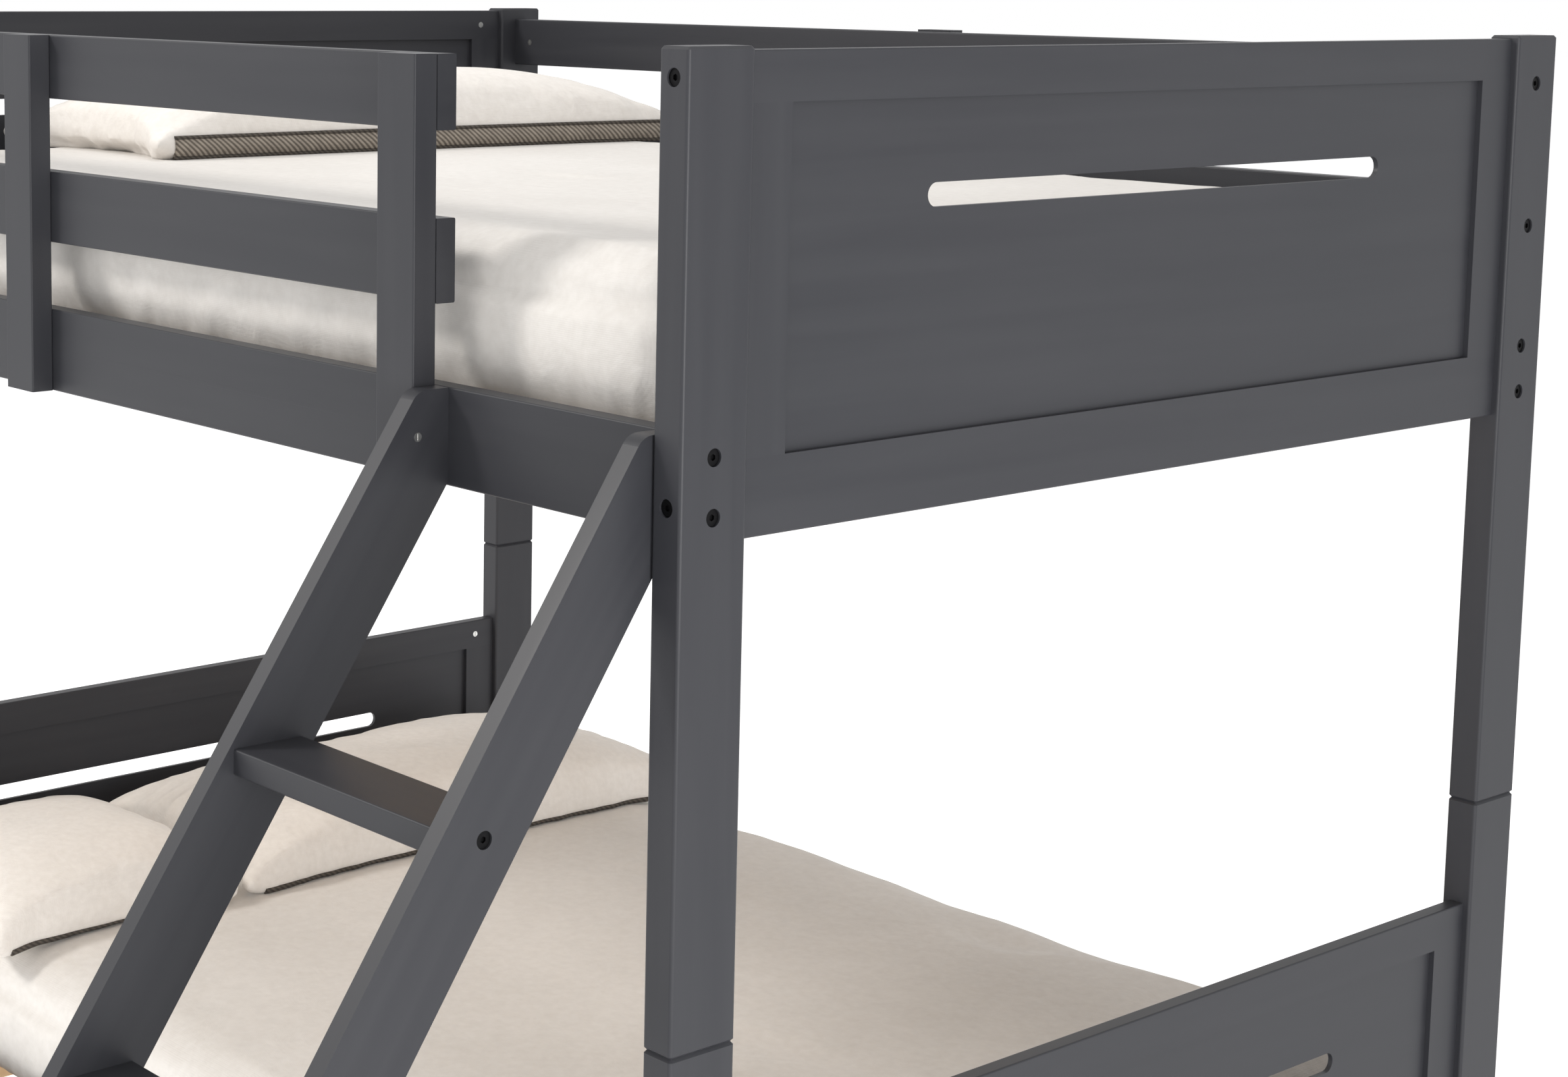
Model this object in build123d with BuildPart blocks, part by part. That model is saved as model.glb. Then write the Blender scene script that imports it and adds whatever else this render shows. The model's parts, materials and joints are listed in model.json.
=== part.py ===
from build123d import *
import math
import os
from collections import namedtuple

# Full-over-full bunk bed with a sloped ladder, in millimetres.
# X runs from the head end to the foot end, Y from the ladder side to the rear,
# Z up from the floor. The origin is under the middle of the whole object.

# Driving dimensions
LENGTH = 2020.0
WIDTH = 1474.0
HEIGHT = 1740.0
SEAM_Z = 768.0            # the upper posts stand on the lower posts here
EASE = 2.0                # rounding of the boards' long edges

# Posts
POST_X = 40.0
POST_Y = 86.0
POST_EASE = 4.0
SEAM_CHAMFER = 3.0
GLIDE_THICK = 3.0
GLIDE_RADIUS = 14.0
PIN_RADIUS = 6.0
PIN_LENGTH = 80.0
PIN_CLEARANCE = 0.05      # radial, in the upper posts only

# Framed end panels, four alike
PANEL_SET_BACK = 10.0     # from the posts' end faces
PANEL_RAIL_THICK = 20.0
PANEL_HEIGHT = 469.0
TOP_RAIL_TALL = 50.0
BOTTOM_RAIL_TALL = 78.0
PANEL_STILE_WIDE = 60.0
PANEL_THICK = 6.0
PANEL_TONGUE = 8.0        # depth of the grooves that hold the panel
SLOT_LONG = 780.0
SLOT_TALL = 25.0
SLOT_BELOW_TOP = 148.5    # slot's centre line below the panel frame's top
PANEL_TOPS = {"lower": 634.0, "upper": 1736.0}

# Side rails, cleats, slats and centre beams
RAIL_IN = 30.0            # outer face of rails and guard boards, from the posts' face
RAIL_THICK = 25.0
RAIL_TALL = 105.0
RAIL_BOTTOMS = {"lower": 166.5, "upper": 1268.5}
CLEAT_WIDE = 22.0
CLEAT_TALL = 25.0
CLEAT_END_GAP = 50.0
SLAT_COUNT = 14
SLAT_WIDE = 70.0
SLAT_THICK = 20.0
SLAT_END_GAP = 2.0
FIRST_SLAT_IN = 110.0     # centre of the first slat, from the end of the bed
BEAM_WIDE = 60.0
BEAM_TALL = 23.5
BEAM_LEGS_X = (-700.0, 0.0, 700.0)
BEAM_LEG_SIDE = 40.0
BRACKET_THICK = 2.5
BRACKET_WIDE = 66.0
BRACKET_SEAT = 45.0
BRACKET_TALL = 68.0
BRACKET_SCREW_UP = 24.0   # screws above the beam's top

# Guard rails of the upper bunk
GUARD_TOP = (1641.0, 1721.0)
GUARD_MIDDLE = (1459.0, 1549.0)
GUARD_POST_WIDE = 65.0
GUARD_END_IN = 414.5      # guard boards stop here, from the foot end
GUARD_MIDDLE_IN = 1212.0
REAR_POST_EXTRA = 3.0     # the rear centre post stands this much higher

# Ladder
LADDER_LEAN = 34.5        # degrees from upright
LADDER_STILE_WIDE = 90.0
LADDER_STILE_THICK = 22.0
LADDER_RIGHT_IN = 42.0    # outer face of the right stile, from the foot end
TREAD_LONG = 328.0
TREAD_THICK = 27.0
TREAD_DEEP = 84.0
TREAD_SET_IN = 6.0
TREAD_TOPS = (139.0, 435.7, 732.3, 1029.0)
LADDER_REST_Z = 1272.0    # lowest point of the cut that rests on the side rail
LADDER_TOP_Z = 1373.0
LADDER_NOSE = 22.0

# Fasteners
BOLT_HEAD_RADIUS = 8.5
BOLT_HEAD_TALL = 4.0
BOLT_RECESS = 2.0
BOLT_RECESS_RADIUS = 9.0
BOLT_RADIUS = 3.0
SOCKET_RADIUS = 3.4
SOCKET_DEEP = 2.5
NUT_RADIUS = 5.0
NUT_SLOT = 1.3            # width and depth of the driver slot
NUT_FROM_END = 40.0       # barrel nut's centre from the board's end
BOLT_PAST_NUT = 6.0
SIDE_RAIL_BOLTS = (26.5, 84.5)
PANEL_BOLTS_DOWN = (25.0, 430.0)
GUARD_BOLTS = (1504.0, 1681.0)
LADDER_BOLT_Z = 1324.0
SCREW_HEAD_RADIUS = 4.0
SCREW_RADIUS = 2.0
SCREW_HEAD_TALL = 3.0
SCREW_LONG = 40.0
BRACKET_SCREW_LONG = 14.0
CLEAT_SCREWS = 7

# Bedding
SOFT_GAP = 0.3
MATTRESS_LONG = 1900.0
MATTRESS_WIDE = 1350.0
MATTRESS_TOPS = {"lower": 427.0, "upper": 1531.0}
MATTRESS_ROUND = 38.0
PILLOW_DEEP = 470.0
PILLOW_TALL = 132.0
PILLOW_ROUND = 58.0
PILLOW_HEAD_IN = {"lower": 100.0, "upper": 50.0}   # from the head end of the bed
PILLOWS = {               # bunk, then low and high Y from the front of the bed
    "lower_pillow_front": ("lower", 64.0, 488.0),
    "lower_pillow_rear": ("lower", 496.0, 1392.0),
    "upper_pillow": ("upper", 372.0, 1392.0),
}

# Values worked out from the dimensions above
LEAN = math.tan(math.radians(LADDER_LEAN))
STILE_RUN = LADDER_STILE_WIDE / math.cos(math.radians(LADDER_LEAN))
LADDER_REACH = LADDER_REST_Z * LEAN + STILE_RUN - RAIL_IN
FRONT = (LADDER_REACH - WIDTH) / 2
MIDDLE_Y = FRONT + WIDTH / 2
POST_CENTRE_Y = RAIL_IN + RAIL_THICK / 2
ENDS = {"foot": 1, "head": -1}
SIDES = {"front": -1, "rear": 1}
BUNKS = ("lower", "upper")

Bolt = namedtuple("Bolt", "seat inward length nut_face nut_inward nut_length")
Screw = namedtuple("Screw", "seat inward length")


def end_x(end, inset):
    """X of a point this far in from the named end of the bed."""
    return ENDS[end] * (LENGTH / 2 - inset)


def side_y(side, inset):
    """Y of a point this far in from the named side of the bed."""
    return MIDDLE_Y + SIDES[side] * (WIDTH / 2 - inset)


def span(first, second):
    """Two coordinates as a (low, high) pair."""
    return (min(first, second), max(first, second))


def ladder_back_y(z):
    """Y of the ladder's rear edge at height z."""
    return FRONT + RAIL_IN - (LADDER_REST_Z - z) * LEAN


def ladder_front_y(z):
    """Y of the ladder's front edge at height z."""
    return ladder_back_y(z) - STILE_RUN


def rod_span(fastener):
    """Box around a fastener's axis, as three (low, high) pairs."""
    tip = [s + d * fastener.length for s, d in zip(fastener.seat, fastener.inward)]
    return [span(a, b) for a, b in zip(fastener.seat, tip)]


def crosses(fastener, spans):
    """True where a fastener's axis enters the box of a board."""
    pairs = zip(rod_span(fastener), spans)
    return all(a[0] <= b[1] + 0.01 and a[1] >= b[0] - 0.01 for a, b in pairs)


# Shapes added to the part that is open

def add_box(spans, mode=Mode.ADD):
    """Box given by its low and high coordinates."""
    centre = tuple((low + high) / 2 for low, high in spans)
    with Locations(centre):
        Box(*[high - low for low, high in spans], mode=mode)


def add_rod(start, direction, radius, length, mode=Mode.ADD):
    """Cylinder from a start point along a direction."""
    with Locations(Plane(origin=start, z_dir=direction)):
        Cylinder(radius, length, align=(Align.CENTER, Align.CENTER, Align.MIN), mode=mode)


def deeper(point, direction, depth):
    """Point moved along a direction."""
    return tuple(p + d * depth for p, d in zip(point, direction))


def add_bolt(bolt):
    """Bolt with a recessed round head and a hexagon socket."""
    head = deeper(bolt.seat, bolt.inward, BOLT_RECESS)
    add_rod(head, bolt.inward, BOLT_HEAD_RADIUS, BOLT_HEAD_TALL)
    add_rod(head, bolt.inward, BOLT_RADIUS, bolt.length - BOLT_RECESS)
    with BuildSketch(Plane(origin=head, z_dir=bolt.inward)) as socket:
        RegularPolygon(SOCKET_RADIUS, 6)
    extrude(socket.sketch, amount=SOCKET_DEEP, mode=Mode.SUBTRACT)


def add_nut(bolt):
    """Barrel nut with the bolt's cross hole and a driver slot."""
    add_rod(bolt.nut_face, bolt.nut_inward, NUT_RADIUS, bolt.nut_length)
    add_rod(bolt.seat, bolt.inward, BOLT_RADIUS, bolt.length, Mode.SUBTRACT)
    with BuildSketch(Plane(origin=bolt.nut_face, z_dir=bolt.nut_inward)) as slot:
        Rectangle(NUT_RADIUS * 1.5, NUT_SLOT)
    extrude(slot.sketch, amount=NUT_SLOT, mode=Mode.SUBTRACT)


def add_screw(screw, mode=Mode.ADD):
    """Countersunk wood screw, or the hole that it fills."""
    with Locations(Plane(origin=screw.seat, z_dir=screw.inward)):
        low = (Align.CENTER, Align.CENTER, Align.MIN)
        Cone(SCREW_HEAD_RADIUS, SCREW_RADIUS, SCREW_HEAD_TALL, align=low, mode=mode)
        Cylinder(SCREW_RADIUS, screw.length, align=low, mode=mode)


def cut_fasteners(spans, bolts=(), screws=()):
    """Holes for every bolt, barrel nut and screw that enters a board."""
    for bolt in bolts:
        if not crosses(bolt, spans):
            continue
        add_rod(bolt.seat, bolt.inward, BOLT_RECESS_RADIUS, BOLT_RECESS + BOLT_HEAD_TALL, Mode.SUBTRACT)
        add_rod(bolt.seat, bolt.inward, BOLT_RADIUS, bolt.length, Mode.SUBTRACT)
        add_rod(bolt.nut_face, bolt.nut_inward, NUT_RADIUS, bolt.nut_length, Mode.SUBTRACT)
    for screw in screws:
        if crosses(screw, spans):
            add_screw(screw, Mode.SUBTRACT)


def save(piece, label):
    """Label a finished piece and write it to its own file."""
    piece.part.label = label
    export_step(piece.part, f"parts/{label}.step")


def make_board(label, spans, grain, bolts=(), screws=()):
    """Plain board with eased long edges and its fastener holes."""
    with BuildPart() as board:
        add_box(spans)
        fillet(board.edges().filter_by(grain), EASE)
        cut_fasteners(spans, bolts, screws)
    save(board, label)


# Where the fasteners are

def end_bolt(end, side, z):
    """Bolt through a post's end face into a side rail or guard board."""
    board_end = POST_X + NUT_FROM_END
    y = side_y(side, POST_CENTRE_Y)
    return Bolt(
        seat=(end_x(end, 0), y, z),
        inward=(-ENDS[end], 0, 0),
        length=board_end + BOLT_PAST_NUT,
        nut_face=(end_x(end, board_end), side_y(side, RAIL_IN + RAIL_THICK), z),
        nut_inward=(0, SIDES[side], 0),
        nut_length=RAIL_THICK - 5,
    )


def side_bolt(end, side, z):
    """Bolt through a post's side face into a rail of an end panel."""
    x_in = PANEL_SET_BACK + PANEL_RAIL_THICK / 2
    nut_in = POST_Y + NUT_FROM_END
    return Bolt(
        seat=(end_x(end, x_in), side_y(side, 0), z),
        inward=(0, -SIDES[side], 0),
        length=nut_in + BOLT_PAST_NUT,
        nut_face=(end_x(end, PANEL_SET_BACK + PANEL_RAIL_THICK), side_y(side, nut_in), z),
        nut_inward=(ENDS[end], 0, 0),
        nut_length=PANEL_RAIL_THICK - 3,
    )


def bed_bolts(bunk):
    """All bolts that hold one bunk's rails to its posts."""
    bolts = []
    for end in ENDS:
        for side in SIDES:
            for up in SIDE_RAIL_BOLTS:
                bolts.append(end_bolt(end, side, RAIL_BOTTOMS[bunk] + up))
            for down in PANEL_BOLTS_DOWN:
                bolts.append(side_bolt(end, side, PANEL_TOPS[bunk] - down))
            if bunk == "upper" and (end, side) != ("foot", "front"):
                bolts.extend(end_bolt(end, side, z) for z in GUARD_BOLTS)
    return bolts


def tread_middle_y(top):
    """Y of the middle of a tread's depth."""
    return ladder_front_y(top) + TREAD_SET_IN + TREAD_DEEP / 2


def ladder_stiles_x():
    """Low X of the left and right ladder stiles."""
    right = end_x("foot", LADDER_RIGHT_IN) - LADDER_STILE_THICK
    left = right - TREAD_LONG - LADDER_STILE_THICK
    return {"left": left, "right": right}


def ladder_bolts():
    """Bolts through the stiles into the treads, and from the side rail into the stiles."""
    bolts = []
    nut_in = LADDER_STILE_THICK + NUT_FROM_END
    for name, inward in (("left", 1), ("right", -1)):
        low_x = ladder_stiles_x()[name]
        outer_x = low_x if name == "left" else low_x + LADDER_STILE_THICK
        inner_x = outer_x + inward * LADDER_STILE_THICK
        for top in TREAD_TOPS:
            y = tread_middle_y(top)
            bolts.append(Bolt(
                seat=(outer_x, y, top - TREAD_THICK / 2),
                inward=(inward, 0, 0),
                length=nut_in + BOLT_PAST_NUT,
                nut_face=(outer_x + inward * nut_in, y, top - TREAD_THICK),
                nut_inward=(0, 0, 1),
                nut_length=TREAD_THICK - 6,
            ))
        rail_back_y = side_y("front", RAIL_IN + RAIL_THICK)
        bolts.append(Bolt(
            seat=(low_x + LADDER_STILE_THICK / 2, rail_back_y, LADDER_BOLT_Z),
            inward=(0, -1, 0),
            length=RAIL_THICK + NUT_FROM_END + BOLT_PAST_NUT,
            nut_face=(inner_x, rail_back_y - RAIL_THICK - NUT_FROM_END, LADDER_BOLT_Z),
            nut_inward=(-inward, 0, 0),
            nut_length=LADDER_STILE_THICK - 4,
        ))
    return bolts


def cleat_screws(bunk):
    """Screws through the cleats into the side rails."""
    z = RAIL_BOTTOMS[bunk] + CLEAT_TALL / 2
    reach = LENGTH / 2 - POST_X - CLEAT_END_GAP
    screws = []
    for side in SIDES:
        for i in range(CLEAT_SCREWS):
            x = -reach + 2 * reach * i / (CLEAT_SCREWS - 1)
            seat = (x, side_y(side, RAIL_IN + RAIL_THICK + CLEAT_WIDE), z)
            screws.append(Screw(seat, (0, SIDES[side], 0), SCREW_LONG))
    return screws


def slat_x(index):
    """X of the middle of one slat."""
    first = LENGTH / 2 - FIRST_SLAT_IN
    return -first + 2 * first * index / (SLAT_COUNT - 1)


def slat_screws(bunk):
    """Screws down through both ends of every slat into the cleats."""
    z = RAIL_BOTTOMS[bunk] + CLEAT_TALL + SLAT_THICK
    y_in = RAIL_IN + RAIL_THICK + CLEAT_WIDE / 2
    seats = [(slat_x(i), side_y(side, y_in), z) for i in range(SLAT_COUNT) for side in SIDES]
    return [Screw(seat, (0, 0, -1), SCREW_LONG - 5) for seat in seats]


def guard_post_spans():
    """Boxes of the guard posts, by name."""
    posts = {}
    low_z = RAIL_BOTTOMS["upper"]
    for name, inset in (("front_guard_end_post", GUARD_END_IN), ("front_guard_middle_post", GUARD_MIDDLE_IN)):
        x = span(end_x("foot", inset), end_x("foot", inset + GUARD_POST_WIDE))
        posts[name] = (x, span(side_y("front", 0), side_y("front", RAIL_IN)), (low_z, GUARD_TOP[1]))
    x = (-GUARD_POST_WIDE / 2, GUARD_POST_WIDE / 2)
    y = span(side_y("rear", 0), side_y("rear", RAIL_IN))
    posts["rear_guard_centre_post"] = (x, y, (low_z, GUARD_TOP[1] + REAR_POST_EXTRA))
    return posts


def guard_screws():
    """Two screws at each crossing of a guard post with a rail or board."""
    rail_middle = RAIL_BOTTOMS["upper"] + RAIL_TALL / 2
    screws = []
    for name, (x, _, _) in guard_post_spans().items():
        side = name.split("_")[0]
        y = side_y(side, RAIL_IN + RAIL_THICK)
        for z in (rail_middle, sum(GUARD_MIDDLE) / 2, sum(GUARD_TOP) / 2):
            for shift in (-16.0, 16.0):
                seat = (sum(x) / 2 + shift, y, z)
                screws.append(Screw(seat, (0, SIDES[side], 0), SCREW_LONG + 8))
    return screws


def bracket_screws():
    """Screws through the beam brackets into the end panels' bottom rails."""
    x_in = PANEL_SET_BACK + PANEL_RAIL_THICK + BRACKET_THICK
    z = RAIL_BOTTOMS["upper"] + CLEAT_TALL + BRACKET_SCREW_UP
    seats = [(end_x(end, x_in), MIDDLE_Y + shift, z) for end in ENDS for shift in (-20.0, 20.0)]
    return [Screw(seat, (math.copysign(1, seat[0]), 0, 0), BRACKET_SCREW_LONG) for seat in seats]


# Sub-parts

def make_post(bunk, end, side, bolts):
    """Corner post, with a bore for the pin that joins it to the other bunk's post."""
    low, high = (GLIDE_THICK, SEAM_Z) if bunk == "lower" else (SEAM_Z, HEIGHT)
    spans = (
        span(end_x(end, 0), end_x(end, POST_X)),
        span(side_y(side, 0), side_y(side, POST_Y)),
        (low, high),
    )
    pin_start = (end_x(end, POST_X / 2), side_y(side, POST_Y / 2), SEAM_Z)
    down = -1 if bunk == "lower" else 1
    pin_bore = PIN_RADIUS if bunk == "lower" else PIN_RADIUS + PIN_CLEARANCE
    with BuildPart() as post:
        add_box(spans)
        fillet(post.edges().filter_by(Axis.Z), POST_EASE)
        chamfer(post.faces().filter_by(Axis.Z).edges(), SEAM_CHAMFER)
        cut_fasteners(spans, bolts)
        add_rod(pin_start, (0, 0, down), pin_bore, PIN_LENGTH / 2 + down * 0.5, Mode.SUBTRACT)
    save(post, f"{bunk}_post_{end}_{side}")


def make_end_panel(bunk, end, bolts, screws):
    """Top rail, bottom rail, two stiles and the slotted panel of one end."""
    top = PANEL_TOPS[bunk]
    bottom = top - PANEL_HEIGHT
    x = span(end_x(end, PANEL_SET_BACK), end_x(end, PANEL_SET_BACK + PANEL_RAIL_THICK))
    panel_in = PANEL_SET_BACK + (PANEL_RAIL_THICK - PANEL_THICK) / 2
    panel_x = span(end_x(end, panel_in), end_x(end, panel_in + PANEL_THICK))
    y = (side_y("front", POST_Y), side_y("rear", POST_Y))
    field_z = (bottom + BOTTOM_RAIL_TALL, top - TOP_RAIL_TALL)
    groove_z = (field_z[0] - PANEL_TONGUE, field_z[1] + PANEL_TONGUE)

    rails = (("top_rail", (field_z[1], top), -1), ("bottom_rail", (bottom, field_z[0]), 0))
    for name, z, outer_row in rails:
        with BuildPart() as rail:
            add_box((x, y, z))
            outer_edges = rail.edges().filter_by(Axis.Y).group_by(Axis.Z)[outer_row]
            fillet(outer_edges, EASE)
            add_box((panel_x, y, groove_z), Mode.SUBTRACT)
            cut_fasteners((x, y, z), bolts, screws)
        save(rail, f"{bunk}_{end}_{name}")

    with BuildPart() as stiles:
        for side in SIDES:
            inner = POST_Y + PANEL_STILE_WIDE
            stile_y = span(side_y(side, POST_Y), side_y(side, inner))
            add_box((x, stile_y, field_z))
            add_box((panel_x, stile_y, groove_z))
            groove_y = span(side_y(side, inner), side_y(side, inner - PANEL_TONGUE))
            add_box((panel_x, groove_y, groove_z), Mode.SUBTRACT)
    save(stiles, f"{bunk}_{end}_panel_stiles")

    panel_y_in = POST_Y + PANEL_STILE_WIDE - PANEL_TONGUE
    with BuildPart() as panel:
        add_box((panel_x, (side_y("front", panel_y_in), side_y("rear", panel_y_in)), groove_z))
        with BuildSketch(Plane.YZ.offset(panel_x[0])):
            with Locations((MIDDLE_Y, top - SLOT_BELOW_TOP)):
                SlotOverall(SLOT_LONG, SLOT_TALL)
        extrude(amount=PANEL_THICK, mode=Mode.SUBTRACT)
    save(panel, f"{bunk}_{end}_panel")


def make_side_rails(bunk, bolts, screws):
    """Front and rear side rails between the posts."""
    x = (end_x("head", POST_X), end_x("foot", POST_X))
    z = (RAIL_BOTTOMS[bunk], RAIL_BOTTOMS[bunk] + RAIL_TALL)
    for side in SIDES:
        y = span(side_y(side, RAIL_IN), side_y(side, RAIL_IN + RAIL_THICK))
        make_board(f"{bunk}_side_rail_{side}", (x, y, z), Axis.X, bolts, screws)


def make_deck(bunk, screws):
    """Cleats along the side rails, the slats across them and the centre beam."""
    low = RAIL_BOTTOMS[bunk]
    inner = RAIL_IN + RAIL_THICK
    cleat_top = low + CLEAT_TALL
    with BuildPart() as cleats:
        for side in SIDES:
            x = (end_x("head", POST_X + CLEAT_END_GAP / 2), end_x("foot", POST_X + CLEAT_END_GAP / 2))
            y = span(side_y(side, inner), side_y(side, inner + CLEAT_WIDE))
            add_box((x, y, (low, cleat_top)))
        for screw in screws:
            add_screw(screw, Mode.SUBTRACT)
    save(cleats, f"{bunk}_slat_cleats")

    with BuildPart() as slats:
        y = (side_y("front", inner + SLAT_END_GAP), side_y("rear", inner + SLAT_END_GAP))
        for index in range(SLAT_COUNT):
            x = (slat_x(index) - SLAT_WIDE / 2, slat_x(index) + SLAT_WIDE / 2)
            add_box((x, y, (cleat_top, cleat_top + SLAT_THICK)))
        fillet(slats.edges().filter_by(Axis.Y), EASE)
        for screw in screws:
            add_screw(screw, Mode.SUBTRACT)
    save(slats, f"{bunk}_slats")

    beam_in = PANEL_SET_BACK + PANEL_RAIL_THICK + BRACKET_THICK
    spans = (
        (end_x("head", beam_in), end_x("foot", beam_in)),
        (MIDDLE_Y - BEAM_WIDE / 2, MIDDLE_Y + BEAM_WIDE / 2),
        (cleat_top - BEAM_TALL, cleat_top),
    )
    make_board(f"{bunk}_centre_beam", spans, Axis.X)


def make_beam_legs():
    """Legs under the lower bunk's centre beam."""
    top = RAIL_BOTTOMS["lower"] + CLEAT_TALL - BEAM_TALL
    half = BEAM_LEG_SIDE / 2
    with BuildPart() as legs:
        for x in BEAM_LEGS_X:
            add_box(((x - half, x + half), (MIDDLE_Y - half, MIDDLE_Y + half), (GLIDE_THICK, top)))
        fillet(legs.edges().filter_by(Axis.Z), EASE)
    save(legs, "lower_centre_legs")


def make_beam_brackets(screws):
    """Angle brackets that carry the upper centre beam on the end panels."""
    beam_bottom = RAIL_BOTTOMS["upper"] + CLEAT_TALL - BEAM_TALL
    low = beam_bottom - BRACKET_THICK
    back_in = PANEL_SET_BACK + PANEL_RAIL_THICK
    y = (MIDDLE_Y - BRACKET_WIDE / 2, MIDDLE_Y + BRACKET_WIDE / 2)
    with BuildPart() as brackets:
        for end in ENDS:
            plate_x = span(end_x(end, back_in), end_x(end, back_in + BRACKET_THICK))
            seat_x = span(end_x(end, back_in), end_x(end, back_in + BRACKET_SEAT))
            add_box((plate_x, y, (low, low + BRACKET_TALL)))
            add_box((seat_x, y, (low, beam_bottom)))
        for screw in screws:
            add_screw(screw, Mode.SUBTRACT)
    save(brackets, "upper_beam_brackets")


def make_guard_boards(bolts, screws):
    """Top and middle guard boards of the front and the rear."""
    foot_ends = {"front": GUARD_END_IN, "rear": POST_X}
    for side in SIDES:
        x = (end_x("head", POST_X), end_x("foot", foot_ends[side]))
        y = span(side_y(side, RAIL_IN), side_y(side, RAIL_IN + RAIL_THICK))
        for name, z in (("top", GUARD_TOP), ("middle", GUARD_MIDDLE)):
            make_board(f"{side}_guard_{name}_board", (x, y, z), Axis.X, bolts, screws)


def make_guard_posts(screws):
    """Uprights that tie the guard boards to the side rails."""
    for name, spans in guard_post_spans().items():
        make_board(name, spans, Axis.Z, screws=screws)


def make_ladder_stile(name, bolts):
    """Sloped ladder side, cut upright where it lies against the side rail."""
    low_x = ladder_stiles_x()[name]
    rail_y = side_y("front", RAIL_IN)
    nose_y = ladder_front_y(LADDER_TOP_Z)
    spans = ((low_x, low_x + LADDER_STILE_THICK), (ladder_front_y(0), rail_y), (0, LADDER_TOP_Z))
    with BuildPart() as stile:
        with BuildSketch(Plane.YZ.offset(low_x)) as outline:
            with BuildLine():
                Polyline(
                    (ladder_front_y(0), 0),
                    (ladder_back_y(0), 0),
                    (rail_y, LADDER_REST_Z),
                    (rail_y, LADDER_TOP_Z),
                    (nose_y, LADDER_TOP_Z),
                    close=True,
                )
            make_face()
            nose = outline.vertices().group_by(Axis.Y)[-1].sort_by(Axis.X)[0]
            fillet(nose, LADDER_NOSE)
        extrude(amount=LADDER_STILE_THICK)
        cut_fasteners(spans, bolts)
    save(stile, f"ladder_stile_{name}")


def make_treads(bolts):
    """Four level treads between the ladder's stiles."""
    left_x = ladder_stiles_x()["left"] + LADDER_STILE_THICK
    with BuildPart() as treads:
        for top in TREAD_TOPS:
            front = ladder_front_y(top) + TREAD_SET_IN
            add_box(((left_x, left_x + TREAD_LONG), (front, front + TREAD_DEEP), (top - TREAD_THICK, top)))
        fillet(treads.edges().filter_by(Axis.X), EASE)
        middle_z = TREAD_TOPS[0]
        cut_fasteners(((left_x, left_x + TREAD_LONG), (ladder_front_y(middle_z - TREAD_THICK), MIDDLE_Y),
                       (0, TREAD_TOPS[-1])), bolts)
    save(treads, "ladder_treads")


def make_fastener_group(label, add, fasteners):
    """One node that holds a group of alike fasteners."""
    with BuildPart() as group:
        for fastener in fasteners:
            add(fastener)
    save(group, label)


def make_post_pins():
    """Steel pins standing in the lower posts."""
    with BuildPart() as pins:
        for end in ENDS:
            for side in SIDES:
                low = (end_x(end, POST_X / 2), side_y(side, POST_Y / 2), SEAM_Z - PIN_LENGTH / 2 + 0.5)
                add_rod(low, (0, 0, 1), PIN_RADIUS, PIN_LENGTH - 0.5)
        chamfer(pins.faces().filter_by(Axis.Z).edges(), 1.0)
    save(pins, "post_pins")


def make_glides():
    """Plastic glides under the posts and the beam legs."""
    places = [(end_x(end, POST_X / 2), side_y(side, POST_Y / 2), 0) for end in ENDS for side in SIDES]
    places += [(x, MIDDLE_Y, 0) for x in BEAM_LEGS_X]
    with BuildPart() as glides:
        for place in places:
            add_rod(place, (0, 0, 1), GLIDE_RADIUS, GLIDE_THICK)
    save(glides, "floor_glides")


def make_soft_block(label, spans, rounding):
    """Plain solid that stands for a mattress or pillow."""
    with BuildPart() as block:
        add_box(spans)
        fillet(block.edges(), rounding)
    save(block, label)


def make_mattress(bunk):
    """Mattress of one bunk, lying on the slats."""
    low = RAIL_BOTTOMS[bunk] + CLEAT_TALL + SLAT_THICK + SOFT_GAP
    x = (-MATTRESS_LONG / 2, MATTRESS_LONG / 2)
    y = (MIDDLE_Y - MATTRESS_WIDE / 2, MIDDLE_Y + MATTRESS_WIDE / 2)
    make_soft_block(f"{bunk}_mattress", (x, y, (low, MATTRESS_TOPS[bunk])), MATTRESS_ROUND)


def make_pillows():
    """Pillows lying on the mattresses at the head end."""
    for name, (bunk, low_in, high_in) in PILLOWS.items():
        low_x = end_x("head", PILLOW_HEAD_IN[bunk])
        low_z = MATTRESS_TOPS[bunk] + SOFT_GAP
        spans = (
            (low_x, low_x + PILLOW_DEEP),
            (side_y("front", low_in), side_y("front", high_in)),
            (low_z, low_z + PILLOW_TALL),
        )
        make_soft_block(name, spans, PILLOW_ROUND)


def make_bunk(bunk, bolts, screws):
    """Posts, end panels, side rails and deck of one bunk."""
    for end in ENDS:
        for side in SIDES:
            make_post(bunk, end, side, bolts)
        make_end_panel(bunk, end, bolts, screws)
    make_side_rails(bunk, bolts, screws)
    make_deck(bunk, cleat_screws(bunk) + slat_screws(bunk))
    make_mattress(bunk)


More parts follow.
